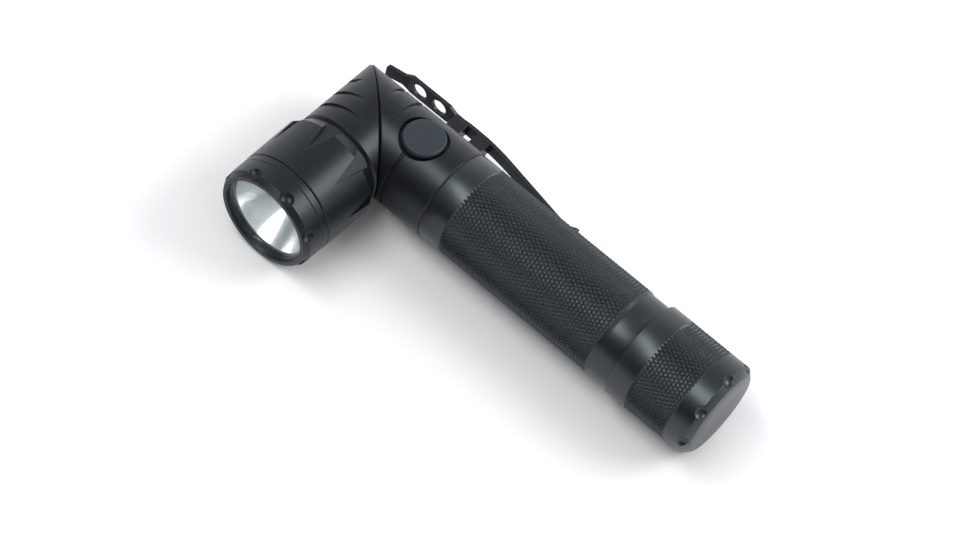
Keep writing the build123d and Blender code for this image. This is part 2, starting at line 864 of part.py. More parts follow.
with BuildPart() as driver_board:
    board_radius = cavity_radius - running_clearance
    driver_front = spigot_tip - retainer_thickness
    driver_back = driver_front - driver_board_thickness
    revolve(band(HEAD, driver_back, driver_front, 0, board_radius), axis=head_axis)
    component_plane = Plane(origin=corner - (0, driver_back, 0), x_dir=(1, 0, 0), z_dir=(0, 1, 0))
    with BuildSketch(component_plane):
        with Locations((3.6, 2.4)):
            Rectangle(4.0, 4.0)
        with Locations((-3.4, 2.6), (-3.0, -3.0)):
            Rectangle(2.6, 1.8)
    extrude(amount=driver_part_height)
finish_piece(driver_board.part, "driver_board")

with BuildPart() as driver_ring:
    revolve(band(HEAD, driver_front, spigot_tip, board_radius - driver_ring_width, board_radius), axis=head_axis)
finish_piece(driver_ring.part, "driver_ring")

# ---------------------------------------------------------------- head body
with BuildPart() as dart:
    slope_drop = dart_slope * (dart_tip - dart_back)
    head_taper = (head_radius - head_front_radius) / (bezel_seam - head_rear)
    tip_radius = head_radius - head_taper * (dart_tip - head_rear)
    with BuildSketch(HEAD):
        with BuildLine():
            Polyline(
                (dart_tip, tip_radius),
                (dart_back, tip_radius - slope_drop),
                (dart_back, head_radius + 4),
                (dart_tip, head_radius + 4),
                close=True,
            )
        make_face()
    extrude(amount=head_radius / 2, both=True)
    dart_plan = Plane(origin=corner + (0, 0, head_radius / 2), x_dir=(0, -1, 0), z_dir=(0, 0, 1))
    half = dart_spread * (dart_tip - dart_back)
    with BuildSketch(dart_plan):
        with BuildLine():
            Polyline((dart_tip, 0), (dart_back, half), (dart_back, -half), close=True)
        make_face()
    extrude(amount=head_radius, mode=Mode.INTERSECT)

with BuildPart() as head_body:
    revolve(
        outline(
            HEAD,
            (neck_length + cap_gap, rear_bore_radius),
            (shelf_back, rear_bore_radius),
            (shelf_back, wire_hole_radius),
            (led_board_back, wire_hole_radius),
            (led_board_back, board_bore),
            (bezel_spigot_end - thread_clearance, board_bore),
            (bezel_spigot_end - thread_clearance, body_bore),
            (bezel_seam - seal_seat_length, body_bore),
            (bezel_seam - seal_seat_length, seal_seat_radius),
            (bezel_seam, seal_seat_radius),
            (bezel_seam, head_front_radius - edge_break),
            (bezel_seam - edge_break, head_front_radius),
            (head_rear, head_radius),
            (neck_length + cap_gap, neck_radius),
        ),
        axis=head_axis,
    )
    add(around(dart.part, head_axis, dart_turn, dart_count), mode=Mode.SUBTRACT)
finish_piece(head_body.part, "head_body")

# ---------------------------------------------------------------- bezel, glass and reflector
with BuildPart() as bezel_scallop:
    ball_height = bezel_radius - bezel_scallop_depth + bezel_scallop_radius
    with Locations(corner + (0, -(head_length - bezel_scallop_edge), ball_height)):
        Sphere(bezel_scallop_radius)

with BuildPart() as bezel_ring:
    revolve(
        outline(
            HEAD,
            (bezel_spigot_end, bezel_bore),
            (lip_start, bezel_bore),
            (lip_start, aperture),
            (head_length, aperture + bezel_mouth_flare),
            (head_length, bezel_rim_radius),
            (bezel_bevel_start, bezel_radius),
            (bezel_line_start + bezel_line_width, bezel_radius),
            (bezel_line_start + bezel_line_width / 2, bezel_radius - bezel_line_depth),
            (bezel_line_start, bezel_radius),
            (bezel_seam + edge_break, bezel_radius),
            (bezel_seam, bezel_radius - edge_break),
            (bezel_seam, bezel_spigot_radius),
            (bezel_spigot_end, bezel_spigot_radius),
        ),
        axis=head_axis,
    )
    add(around(bezel_scallop.part, head_axis, bezel_scallop_turn, scallop_count), mode=Mode.SUBTRACT)
finish_piece(bezel_ring.part, "bezel_ring")

with BuildPart() as lens:
    revolve(band(HEAD, lens_back, lens_front, 0, lens_radius), axis=head_axis)
    chamfer(lens.edges().filter_by(GeomType.CIRCLE), 0.15)
finish_piece(lens.part, "lens")

with BuildPart() as lens_seal:
    revolve(band(HEAD, lens_front, lip_start, aperture + 0.05, lens_radius), axis=head_axis)
finish_piece(lens_seal.part, "lens_seal")

with BuildPart() as bowl:
    with BuildSketch(HEAD):
        with BuildLine():
            Polyline((lens_back + 1, 0), (lens_back + 1, reflector_mouth), (lens_back, reflector_mouth))
            Spline(
                (lens_back, reflector_mouth),
                (parabola_start + (0.8 * reflector_mouth) ** 2 / (4 * focal_length), 0.8 * reflector_mouth),
                (parabola_start + (0.6 * reflector_mouth) ** 2 / (4 * focal_length), 0.6 * reflector_mouth),
                (parabola_start + bowl_hole ** 2 / (4 * focal_length), bowl_hole),
            )
            Polyline(
                (parabola_start + bowl_hole ** 2 / (4 * focal_length), bowl_hole),
                (reflector_back - 1, bowl_hole),
                (reflector_back - 1, 0),
                (lens_back + 1, 0),
            )
        make_face()
    revolve(axis=head_axis)

with BuildPart() as reflector:
    revolve(
        outline(
            HEAD,
            (reflector_back, 0),
            (reflector_back, bowl_hole + reflector_back_wall),
            (lens_back - reflector_flange, reflector_mouth + reflector_wall),
            (lens_back - reflector_flange, lens_radius),
            (lens_back, lens_radius),
            (lens_back, 0),
        ),
        axis=head_axis,
    )
    add(bowl.part, mode=Mode.SUBTRACT)
finish_piece(reflector.part, "reflector")

with BuildPart() as led_board:
    revolve(band(HEAD, led_board_back, led_board_front, 0, lens_radius - board_margin), axis=head_axis)
finish_piece(led_board.part, "led_board")

LED_FACE = Plane(origin=corner - (0, led_board_front, 0), x_dir=(1, 0, 0), z_dir=(0, -1, 0))
with BuildPart() as led_package:
    with BuildSketch(LED_FACE):
        Rectangle(package_size, package_size)
    extrude(amount=package_height)
finish_piece(led_package.part, "led_package")

with BuildPart() as led_dome:
    dome_start = led_board_front + package_height
    with BuildSketch(HEAD):
        with BuildLine():
            Line((dome_start, 0), (dome_start + dome_radius, 0))
            CenterArc((dome_start, 0), dome_radius, 0, 90)
            Line((dome_start, dome_radius), (dome_start, 0))
        make_face()
    revolve(axis=head_axis)
finish_piece(led_dome.part, "led_dome")

with BuildPart() as led_spacer:
    with BuildSketch(LED_FACE):
        Circle(bowl_hole + spacer_wall)
        Rectangle(package_size + thread_clearance, package_size + thread_clearance, mode=Mode.SUBTRACT)
    extrude(amount=reflector_back - led_board_front)
finish_piece(led_spacer.part, "led_spacer")

with BuildPart() as bezel_seal:
    revolve(
        band(
            HEAD,
            bezel_seam - seal_seat_length + seal_clearance,
            bezel_seam - seal_clearance,
            bezel_spigot_radius,
            seal_seat_radius - seal_clearance,
        ),
        axis=head_axis,
    )
finish_piece(bezel_seal.part, "bezel_seal")

# ---------------------------------------------------------------- pocket clip
flare_drop = clip_flare_radius * (1 - cos(radians(clip_slope)))
bend_run = clip_bend_radius * sin(radians(clip_slope))
bend_drop = clip_bend_radius * (1 - cos(radians(clip_slope)))
touch_level = tube_radius + clip_touch_gap
straight_drop = clip_inner - bend_drop - touch_level - flare_drop
straight_run = straight_drop / tan(radians(clip_slope))
bend_end = (clip_flat_end + bend_run, clip_inner - bend_drop)
flare_start = (bend_end[0] + straight_run, bend_end[1] - straight_drop)
slope_direction = (cos(radians(clip_slope)), -sin(radians(clip_slope)))
lip_angle = clip_flare - clip_slope
lip_direction = (cos(radians(lip_angle)), sin(radians(lip_angle)))


def clip_curve(raised):
    """Side of the clip facing the handle, raised away from it, from the toe to the lip."""
    bend = JernArc((clip_flat_end, clip_inner + raised), (1, 0), clip_bend_radius, -clip_slope)
    arm_end = Vector(flare_start[0], flare_start[1] + raised)
    flare = JernArc(arm_end, slope_direction, clip_flare_radius, clip_flare)
    lip_end = flare @ 1 + Vector(*lip_direction) * clip_lip
    return [
        Line((clip_toe, clip_inner + raised - clip_toe_drop), (clip_toe_bend, clip_inner + raised)),
        Line((clip_toe_bend, clip_inner + raised), (clip_flat_end, clip_inner + raised)),
        bend,
        Line(bend @ 1, arm_end),
        flare,
        Line(flare @ 1, lip_end),
    ]


inner_curve = clip_curve(0)
outer_curve = clip_curve(clip_thickness)
clip_tip = (inner_curve[-1] @ 1).X
hole_places = (clip_hole_place, clip_hole_place + clip_hole_spacing)
clip_waist = clip_arm_half - clip_waist_cut
lobe_start = clip_hole_place - clip_hole_radius - clip_lobe_margin
lobe_end = hole_places[1] + clip_hole_radius + clip_lobe_margin
clip_face = Plane(origin=corner, x_dir=(1, 0, 0), z_dir=(0, 1, 0))

with BuildPart() as clip:
    with BuildSketch(CLIP):
        with BuildLine():
            add(inner_curve)
            add(outer_curve)
            Line(inner_curve[0] @ 0, outer_curve[0] @ 0)
            Line(inner_curve[-1] @ 1, outer_curve[-1] @ 1)
        make_face()
    extrude(amount=2 * clip_plate_half, both=True)
    with BuildSketch(clip_face) as plan:
        with BuildLine():
            Polyline(
                (clip_toe, 0),
                (clip_toe, clip_arm_half),
                (lobe_start - clip_taper_run, clip_waist),
                (lobe_start, clip_plate_half),
                (lobe_end, clip_plate_half),
                (lobe_end + clip_taper_run, clip_waist),
                (screw_places[0], clip_waist),
                (screw_places[0] + clip_taper_run, clip_arm_half),
                (flare_start[0], clip_tip_half),
                (clip_tip, clip_tip_half),
                (clip_tip, 0),
                close=True,
            )
        make_face()
        mirror(about=Plane.XZ)
        fillet(plan.vertices().filter_by(lambda corner_point: abs(corner_point.Z - corner_z) > 1), clip_corner)
    extrude(amount=2 * clip_outer, mode=Mode.INTERSECT)
    with BuildSketch(clip_face):
        with Locations(*[(place, 0) for place in hole_places]):
            Circle(clip_hole_radius)
        with Locations(*[(place, 0) for place in screw_places]):
            Circle(screw_radius + screw_clearance)
    extrude(amount=2 * clip_outer, mode=Mode.SUBTRACT)
finish_piece(clip.part, "clip")

post_starts = (saddle_front + saddle_lip, saddle_end - saddle_lip - saddle_post)
with BuildPart() as clip_saddle:
    with BuildSketch(CLIP) as saddle_side:
        base_top = saddle_seat + saddle_base_thickness
        with BuildLine():
            Polyline(
                (saddle_front, saddle_seat),
                (saddle_end, saddle_seat),
                (saddle_end, base_top),
                (saddle_front, base_top),
                close=True,
            )
        make_face()
        for start in post_starts:
            with BuildLine():
                Polyline(
                    (start, base_top - 1),
                    (start + saddle_post, base_top - 1),
                    (start + saddle_post, clip_outer),
                    (start, clip_outer),
                    close=True,
                )
            make_face()
    extrude(amount=saddle_half, both=True)
    with BuildSketch(CLIP):
        with BuildLine():
            add(inner_curve)
            Polyline(
                inner_curve[0] @ 0,
                (clip_toe, 2 * clip_outer),
                (clip_tip, 2 * clip_outer),
                inner_curve[-1] @ 1,
            )
        make_face()
    extrude(amount=2 * saddle_half, both=True, mode=Mode.SUBTRACT)
    with BuildSketch(clip_face):
        with Locations(*[(place, 0) for place in screw_places]):
            Circle(screw_radius + screw_clearance)
    extrude(amount=2 * clip_outer, mode=Mode.SUBTRACT)
finish_piece(clip_saddle.part, "clip_saddle")

with BuildPart() as clip_screws:
    head_plane = clip_face.offset(clip_outer)
    with BuildSketch(head_plane):
        with Locations(*[(place, 0) for place in screw_places]):
            Circle(screw_head_radius)
    extrude(amount=screw_head_height)
    chamfer(clip_screws.edges().filter_by(GeomType.CIRCLE).group_by(Axis.Y)[-1], edge_break / 2)
    with BuildSketch(head_plane):
        with Locations(*[(place, 0) for place in screw_places]):
            Circle(screw_radius)
    extrude(amount=-(clip_outer - saddle_seat + screw_depth))
    with BuildSketch(head_plane.offset(screw_head_height)):
        with Locations(*[(place, 0) for place in screw_places]):
            RegularPolygon(screw_socket_radius, 6)
    extrude(amount=-screw_socket_depth, mode=Mode.SUBTRACT)
finish_piece(clip_screws.part, "clip_screws")
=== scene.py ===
"""Right-angle hand torch: knurled handle tube, head on a slanted swivel, side button and pocket clip."""

import logging
from dataclasses import dataclass, field
from enum import Enum
from math import cos, pi, radians, sin
from typing import Any, Iterable, Sequence

import bmesh
import bpy
from mathutils import Matrix, Vector


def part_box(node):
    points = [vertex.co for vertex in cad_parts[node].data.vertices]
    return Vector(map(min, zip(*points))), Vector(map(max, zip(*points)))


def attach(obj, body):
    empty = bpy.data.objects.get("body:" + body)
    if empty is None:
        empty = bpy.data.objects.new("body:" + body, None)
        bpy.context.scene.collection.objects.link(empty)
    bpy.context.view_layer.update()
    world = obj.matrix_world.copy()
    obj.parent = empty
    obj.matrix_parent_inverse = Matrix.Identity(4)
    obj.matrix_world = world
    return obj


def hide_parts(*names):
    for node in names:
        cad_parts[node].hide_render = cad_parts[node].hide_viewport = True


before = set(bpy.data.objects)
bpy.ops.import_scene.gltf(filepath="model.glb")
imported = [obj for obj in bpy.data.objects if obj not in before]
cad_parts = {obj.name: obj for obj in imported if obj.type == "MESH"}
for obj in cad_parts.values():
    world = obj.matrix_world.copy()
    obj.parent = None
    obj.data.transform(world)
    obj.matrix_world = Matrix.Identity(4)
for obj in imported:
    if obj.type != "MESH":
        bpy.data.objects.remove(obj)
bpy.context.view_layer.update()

MM = 0.001
SHARP_ANGLE = radians(28)

Colour = tuple[float, float, float]
ProfilePoint = tuple[float, float]

report = logging.getLogger("torch")


# ---------------------------------------------------------------- shader maths
class Signal:
    """A node socket with Python arithmetic, where each operation adds a Math node."""

    def __init__(self, bench: "Bench", socket: bpy.types.NodeSocket) -> None:
        """Keep the socket and the bench it belongs to."""
        self.bench = bench
        self.socket = socket

    def _maths(self, operation: str, first: Any, second: Any = 0.0) -> "Signal":
        """Add one Math node and return its result."""
        return self.bench.node("ShaderNodeMath", {"operation": operation}, {0: first, 1: second})

    def __add__(self, other: Any) -> "Signal":
        """Sum of the two."""
        return self._maths("ADD", self, other)

    def __radd__(self, other: Any) -> "Signal":
        """Sum with a number on the left."""
        return self._maths("ADD", other, self)

    def __sub__(self, other: Any) -> "Signal":
        """Difference of the two."""
        return self._maths("SUBTRACT", self, other)

    def __rsub__(self, other: Any) -> "Signal":
        """Difference from a number on the left."""
        return self._maths("SUBTRACT", other, self)

    def __mul__(self, other: Any) -> "Signal":
        """Product of the two."""
        return self._maths("MULTIPLY", self, other)

    def __rmul__(self, other: Any) -> "Signal":
        """Product with a number on the left."""
        return self._maths("MULTIPLY", other, self)

    def size(self) -> "Signal":
        """The value without its sign."""
        return self._maths("ABSOLUTE", self)

    def largest(self, other: Any) -> "Signal":
        """The larger of the two."""
        return self._maths("MAXIMUM", self, other)

    def power(self, exponent: float) -> "Signal":
        """The value raised to a power."""
        return self._maths("POWER", self, exponent)

    def between(self, low: float, high: float) -> "Signal":
        """The value from low to high spread over nought to one, and held there outside."""
        return self.bench.node(
            "ShaderNodeMapRange", {"clamp": True}, {0: self, 1: low, 2: high, 3: 0.0, 4: 1.0}
        )


class Bench:
    """Where one material's nodes are put together."""

    def __init__(self, name: str, tree: bpy.types.NodeTree | None = None) -> None:
        """Start an empty material, or clear the tree that is given.

        Args:
            name: the material's name.
            tree: the node tree to work on, where it isn't a material's.
        """
        self.material = None
        if tree is None:
            self.material = bpy.data.materials.new(name)
            self.material.use_nodes = True
            tree = self.material.node_tree
        self.tree = tree
        self.tree.nodes.clear()

    def node(
        self,
        kind: str,
        settings: dict[str, Any] | None = None,
        sockets: dict[Any, Any] | None = None,
        output: int | str = 0,
    ) -> Signal:
        """Add any node.

        Args:
            kind: the node's type.
            settings: its properties, set first.
            sockets: values or signals for its inputs, by name or number.
            output: the output that is wanted.

        Returns:
            The chosen output.
        """
        made = self.tree.nodes.new(kind)
        for key, value in (settings or {}).items():
            setattr(made, key, value)
        for key, value in (sockets or {}).items():
            if isinstance(value, Signal):
                self.tree.links.new(value.socket, made.inputs[key])
            else:
                made.inputs[key].default_value = value
        return Signal(self, made.outputs[output])

    def mix(self, share: Any, first: Any, second: Any) -> Signal:
        """Blend two colours.

        Args:
            share: how much of the second colour shows.
            first: colour at nought.
            second: colour at one.

        Returns:
            The blended colour.
        """
        ends = [value if isinstance(value, Signal) else (*value, 1.0) for value in (first, second)]
        return self.node(
            "ShaderNodeMix", {"data_type": "RGBA"}, {0: share, 6: ends[0], 7: ends[1]}, output=2
        )

    def place(self) -> Signal:
        """Place on the object, in metres."""
        return self.node("ShaderNodeTexCoord", output="Object")

    def noise(self, where: Signal, scale: float, detail: float = 2.0, rough: float = 0.5) -> Signal:
        """Soft random variation.

        Args:
            where: the place it is read at.
            scale: how many features to the metre.
            detail: how many finer layers lie on it.
            rough: how strong those layers are.

        Returns:
            A value from nought to one.
        """
        sockets = {"Vector": where, "Scale": scale, "Detail": detail, "Roughness": rough}
        return self.node("ShaderNodeTexNoise", {"noise_dimensions": "3D"}, sockets)

    def parts_of(self, where: Signal) -> tuple[Signal, Signal, Signal]:
        """The three numbers of a place."""
        split = self.node("ShaderNodeSeparateXYZ", sockets={0: where}).socket.node
        return tuple(Signal(self, split.outputs[number]) for number in range(3))

    def length(self, first: Signal, second: Signal) -> Signal:
        """Distance from an axis, from the two offsets square to it."""
        return (first * first + second * second).power(0.5)

    def output(self, shader: Signal) -> bpy.types.Material:
        """Send a shader to the surface and return the finished material."""
        surface = self.tree.nodes.new("ShaderNodeOutputMaterial").inputs["Surface"]
        self.tree.links.new(shader.socket, surface)
        return self.material


# ---------------------------------------------------------------- finishes
class Turning(Enum):
    """Which axis the lathe marks of a piece run around."""

    NONE = "none"
    HANDLE = "handle"
    HEAD = "head"


@dataclass(frozen=True)
class Finish:
    """Plain surface with cloudy colour, fine grain, and edges painted lighter: partly rubbed wear, partly
    painted highlight.
    """

    name: str
    dark: Colour
    light: Colour
    roughness: float
    roughness_swing: float = 0.06
    metallic: float = 0.0
    coat: float = 0.0
    cloud_scale: float = 120.0
    grain_scale: float = 5000.0
    grain_depth: float = 0.012 * MM
    grain_strength: float = 0.35
    edge_radius: float = 0.12 * MM
    # Colour painted onto the edges: a painted highlight, partly rubbed wear.
    edge_colour: Colour | None = None
    edge_share: float = 0.6
    edge_span: tuple[float, float] = (0.004, 0.16)
    cloud_share: float = 0.65
    turning: Turning = Turning.NONE
    turning_scale: float = 2600.0
    turning_share: float = 0.4
    ior: float = 1.42
    sheen_tint: Colour = (0.82, 0.94, 1.0)

    def colour(self, bench: Bench, where: Signal, clouds: Signal, grain: Signal) -> Signal:
        """Colour before the edges are added."""
        return bench.mix(clouds * self.cloud_share + grain * (1 - self.cloud_share), self.dark, self.light)

    def marks(self, bench: Bench, where: Signal, corner: Vector) -> Signal:
        """Fine rings left by the lathe.

        Args:
            bench: the material's nodes.
            where: place on the object.
            corner: where the two axes of the torch meet.

        Returns:
            A value from nought to one that changes along the axis and outwards on end faces.
        """
        across, along, up = bench.parts_of(where)
        if self.turning is Turning.HEAD:
            radius = bench.length(across - corner.x, up - corner.z)
            run = along + radius
        else:
            radius = bench.length(along - corner.y, up - corner.z)
            run = across + radius
        return bench.node(
            "ShaderNodeTexNoise",
            {"noise_dimensions": "1D"},
            {"W": run, "Scale": self.turning_scale, "Detail": 2.0},
        )

    def make(self, corner: Vector) -> bpy.types.Material:
        """Build the material.

        Args:
            corner: where the two axes of the torch meet.

        Returns:
            The finished material.
        """
        bench = Bench(self.name)
        where = bench.place()
        clouds = bench.noise(where, self.cloud_scale, 3.0)
        grain = bench.noise(where, self.grain_scale, 2.0, 0.6)
        height = grain
        if self.turning is not Turning.NONE:
            rings = self.marks(bench, where, corner)
            height = grain * (1 - self.turning_share) + rings * self.turning_share
        colour = self.colour(bench, where, clouds, height)
        rough = clouds * self.roughness_swing + height * self.roughness_swing
        rough = rough + (self.roughness - self.roughness_swing)
        rounded = bench.node("ShaderNodeBevel", {"samples": 6}, {"Radius": self.edge_radius})
        # Edges found by the Bevel node are lightened in colour: a painted highlight along every edge,
        # partly standing for rubbed wear.
        if self.edge_colour is not None:
            flat = bench.node("ShaderNodeNewGeometry", output="Normal")
            agree = bench.node(
                "ShaderNodeVectorMath",
                {"operation": "DOT_PRODUCT"},
                {0: rounded, 1: flat},
                output="Value",
            )
            edge_wear_and_highlight = (1 - agree).between(*self.edge_span) * (clouds * 0.7 + 0.5) * self.edge_share
            colour = bench.mix(edge_wear_and_highlight, colour, self.edge_colour)
        bump = bench.node(
            "ShaderNodeBump",
            sockets={
                "Strength": self.grain_strength,
                "Distance": self.grain_depth,
                "Height": height,
                "Normal": rounded,
            },
        )
        shader = bench.node(
            "ShaderNodeBsdfPrincipled",
            sockets={
                "Base Color": colour,
                "Roughness": rough,
                "Metallic": self.metallic,
                "Coat Weight": self.coat,
                "IOR": self.ior,
                "Specular Tint": (*self.sheen_tint, 1.0),
                "Normal": bump,
            },
        )
        return bench.output(shader)


@dataclass(frozen=True)
class PhosphorFinish(Finish):
    """White ceramic package with a square of yellow phosphor."""

    phosphor: Colour = (0.86, 0.62, 0.06)
    half: float = 1.25 * MM
    blur: float = 0.04

    def colour(self, bench: Bench, where: Signal, clouds: Signal, grain: Signal) -> Signal:
        """Colour of the package with its phosphor."""
        low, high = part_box("led_package")
        middle = (low + high) / 2
        across, _, up = bench.parts_of(where)
        reach = (across - middle.x).size().largest((up - middle.z).size())
        white = bench.mix(clouds, self.dark, self.light)
        square = reach.between(self.half * (1 + self.blur), self.half * (1 - self.blur))
        return bench.mix(square, white, self.phosphor)


@dataclass(frozen=True)
class BoardFinish(Finish):
    """Solder mask with bare gold rings and a weave that shows through."""

    pad: Colour = (0.75, 0.55, 0.2)
    pad_scale: float = 320.0
    pad_edge: tuple[float, float] = (0.2, 0.17)
    cloud_share: float = 0.6

    def colour(self, bench: Bench, where: Signal, clouds: Signal, grain: Signal) -> Signal:
        """Colour of the mask with gold pads."""
        cells = bench.node(
            "ShaderNodeTexVoronoi",
            {"feature": "F1"},
            {"Vector": where, "Scale": self.pad_scale, "Randomness": 0.35},
        )
        mask = super().colour(bench, where, clouds, grain)
        return bench.mix(cells.between(*self.pad_edge), mask, self.pad)


@dataclass(frozen=True)
class WrapFinish(Finish):
    """Shrink wrap whose ends are drawn over the can."""

    bare: Colour = (0.6, 0.6, 0.62)
    bare_edge: tuple[float, float] = (7.6 * MM, 7.3 * MM)
    cloud_share: float = 0.7

    def colour(self, bench: Bench, where: Signal, clouds: Signal, grain: Signal) -> Signal:
        """Colour of the wrap with bare metal in the middle of each end."""
        low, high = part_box("battery_cell")
        middle = (low + high) / 2
        _, along, up = bench.parts_of(where)
        radius = bench.length(along - middle.y, up - middle.z)
        wrap = super().colour(bench, where, clouds, grain)
        return bench.mix(radius.between(*self.bare_edge), wrap, self.bare)


@dataclass(frozen=True)
class ClearFinish:
    """Clear glass or silicone that lets light through and mirrors at a glancing angle."""

    name: str
    tint: Colour
    roughness: float
    straight: float = 0.04
    smear_scale: float = 160.0
    smear_share: float = 0.2
    mirror_tint: Colour = (0.9, 0.95, 1.0)
    glance_power: float = 5.0

    def make(self, corner: Vector) -> bpy.types.Material:
        """Build the material.

        Args:
            corner: where the two axes of the torch meet; not used.

        Returns:
            The finished material.
        """
        bench = Bench(self.name)
        smears = bench.noise(bench.place(), self.smear_scale, 4.0)
        rough = smears * self.roughness + self.roughness / 2
        through = bench.node("ShaderNodeBsdfTransparent", sockets={"Color": (*self.tint, 1.0)})
        mirror = bench.node(
            "ShaderNodeBsdfPrincipled",
            sockets={"Base Color": (*self.mirror_tint, 1.0), "Metallic": 1.0, "Roughness": rough},
        )
        facing = bench.node("ShaderNodeLayerWeight", sockets={"Blend": 0.5}, output="Facing")
        glance = facing.power(self.glance_power) * (1 - self.straight) + self.straight
        share = glance * ((1 - self.smear_share / 2) + smears * self.smear_share)
        return bench.output(bench.node("ShaderNodeMixShader", sockets={0: share, 1: through, 2: mirror}))


@dataclass(frozen=True)
class FloorFinish:
    """Plain pale table top."""

    name: str = "pale_table"
    dark: Colour = (0.84, 0.835, 0.845)
    light: Colour = (0.87, 0.868, 0.872)
    fibre_scale: float = 3.0
    roughness: float = 0.7
    sheen: float = 0.2

    def make(self, corner: Vector) -> bpy.types.Material:
        """Build the material.

        Args:
            corner: where the two axes of the torch meet; not used.

        Returns:
            The finished material.
        """
        bench = Bench(self.name)
        fibres = bench.noise(bench.place(), self.fibre_scale, 4.0)
        shader = bench.node(
            "ShaderNodeBsdfPrincipled",
            sockets={
                "Base Color": bench.mix(fibres, self.dark, self.light),
                "Roughness": fibres * 0.1 + self.roughness,
                "Specular IOR Level": self.sheen,
            },
        )
        return bench.output(shader)


BLACK: Colour = (0.0035, 0.0042, 0.0052)
BLACK_LIGHT: Colour = (0.0075, 0.0085, 0.0105)
# Edge colour of the anodised parts: a painted highlight on the edges, partly rubbed wear.
EDGE_WEAR_AND_HIGHLIGHT: Colour = (0.07, 0.078, 0.09)
WHITE: Colour = (1.0, 1.0, 1.0)

HANDLE_ANODISE = Finish(
    "anodised_handle", BLACK, BLACK_LIGHT, 0.36, 0.07,
    edge_colour=EDGE_WEAR_AND_HIGHLIGHT, turning=Turning.HANDLE,
)
HEAD_ANODISE = Finish(
    "anodised_head", BLACK, BLACK_LIGHT, 0.36, 0.07,
    edge_colour=EDGE_WEAR_AND_HIGHLIGHT, turning=Turning.HEAD,
)
# Knurl edges painted much lighter at full share: a painted highlight for the glints on crests and facets,
# partly worn tips.
KNURL_ANODISE = Finish(
    "anodised_knurl", BLACK, BLACK_LIGHT, 0.34, 0.06,
    edge_radius=0.045 * MM, edge_colour=(0.21, 0.225, 0.245), edge_share=1.0,
    turning=Turning.HANDLE, ior=1.6,
)
# Clip edges painted lighter: a painted highlight, partly rubbed wear.
CLIP_STEEL = Finish(
    "blackened_spring_steel", (0.012, 0.013, 0.015), (0.028, 0.029, 0.032), 0.34, 0.08,
    metallic=0.35, cloud_scale=300.0, edge_colour=(0.2, 0.2, 0.21), edge_share=0.5,
)
STEEL = Finish(
    "turned_steel", (0.5, 0.5, 0.51), (0.62, 0.62, 0.63), 0.26, 0.06,
    metallic=1.0, cloud_scale=400.0, sheen_tint=WHITE,
)
GOLD = Finish(
    "gold_flash", (0.72, 0.53, 0.2), (0.84, 0.66, 0.3), 0.22, 0.05,
    metallic=1.0, cloud_scale=400.0, sheen_tint=WHITE,
)
BUTTON = Finish(
    "button_silicone", (0.015, 0.02, 0.026), (0.026, 0.031, 0.038), 0.5, 0.06,
    cloud_scale=300.0, grain_scale=7000.0, grain_depth=0.02 * MM, grain_strength=0.5,
)
NITRILE = Finish(
    "black_nitrile", (0.008, 0.008, 0.009), (0.016, 0.016, 0.017), 0.42, 0.08,
    cloud_scale=500.0,
)
BOARD = BoardFinish("solder_mask", (0.012, 0.07, 0.03), (0.02, 0.1, 0.045), 0.3, 0.06, coat=0.4)
NYLON = Finish(
    "moulded_nylon", (0.02, 0.02, 0.022), (0.032, 0.032, 0.035), 0.5, 0.08,
    cloud_scale=250.0,
)
SPACER = Finish(
    "white_spacer", (0.76, 0.76, 0.74), (0.84, 0.84, 0.82), 0.45, 0.06,
    cloud_scale=300.0,
)
WRAP = WrapFinish("cell_wrap", (0.03, 0.07, 0.24), (0.045, 0.09, 0.3), 0.28, 0.05, coat=0.3)
BOWL = Finish(
    "polished_bowl", (0.95, 0.955, 0.96), (0.985, 0.985, 0.99), 0.24, 0.04,
    metallic=1.0, cloud_scale=200.0, grain_scale=1500.0, grain_depth=0.006 * MM,
    grain_strength=0.4, sheen_tint=WHITE,
)
PHOSPHOR = PhosphorFinish(
    "led_phosphor", (0.8, 0.8, 0.77), (0.88, 0.87, 0.84), 0.4, 0.05,
    cloud_scale=900.0,
)
GLASS = ClearFinish("clear_glass", (0.97, 0.985, 0.98), 0.02)
SILICONE = ClearFinish("clear_silicone", (1.0, 0.97, 0.8), 0.03, 0.03)

CAD_FINISHES: dict[str, tuple[Any, tuple[str, ...]]] = {
    "handle": (HANDLE_ANODISE, ("handle_elbow",)),
    "head": (HEAD_ANODISE, ("head_elbow", "head_body", "bezel_ring")),
    "clip": (CLIP_STEEL, ("clip", "clip_saddle", "clip_screws")),
    "steel": (
        STEEL,
        (
            "swivel_hub", "swivel_nut", "swivel_washer", "detent_ball", "detent_spring", "stop_pin",
            "button_ring",
        ),
    ),
    "gold": (
        GOLD,
        (
            "contact_disc", "contact_plunger", "contact_ring", "driver_ring", "tail_ring",
            "battery_terminal", "front_contact_spring", "tail_spring", "contact_spring",
        ),
    ),
    "seals": (
        NITRILE,
        (
            "tube_front_seal", "tube_rear_seal", "swivel_seal", "neck_seal", "bezel_seal", "lens_seal",
            "button_seal",
        ),
    ),
    "boards": (
        BOARD,
        ("front_contact_board", "tail_board", "driver_board", "switch_board", "led_board"),
    ),
    "nylon": (NYLON, ("switch_carrier", "switch_body", "switch_plunger", "contact_cup")),
    "spacer": (SPACER, ("led_spacer",)),
    "wrap": (WRAP, ("battery_cell",)),
    "phosphor": (PHOSPHOR, ("led_package",)),
    "glass": (GLASS, ("lens",)),
    "silicone": (SILICONE, ("led_dome",)),
}


# ---------------------------------------------------------------- shapes
@dataclass(frozen=True)
class Spindle:
    """Axis that a piece is turned on, with the two directions that angles are measured from."""

    centre: Vector
    along: Vector
    zero: Vector
    quarter: Vector

    def spot(self, place: float, radius: float, angle: float) -> Vector:
        """Point at a place along the axis, a radius from it and an angle around it."""
        out = self.zero * cos(angle) + self.quarter * sin(angle)
        return self.centre + self.along * place + out * radius


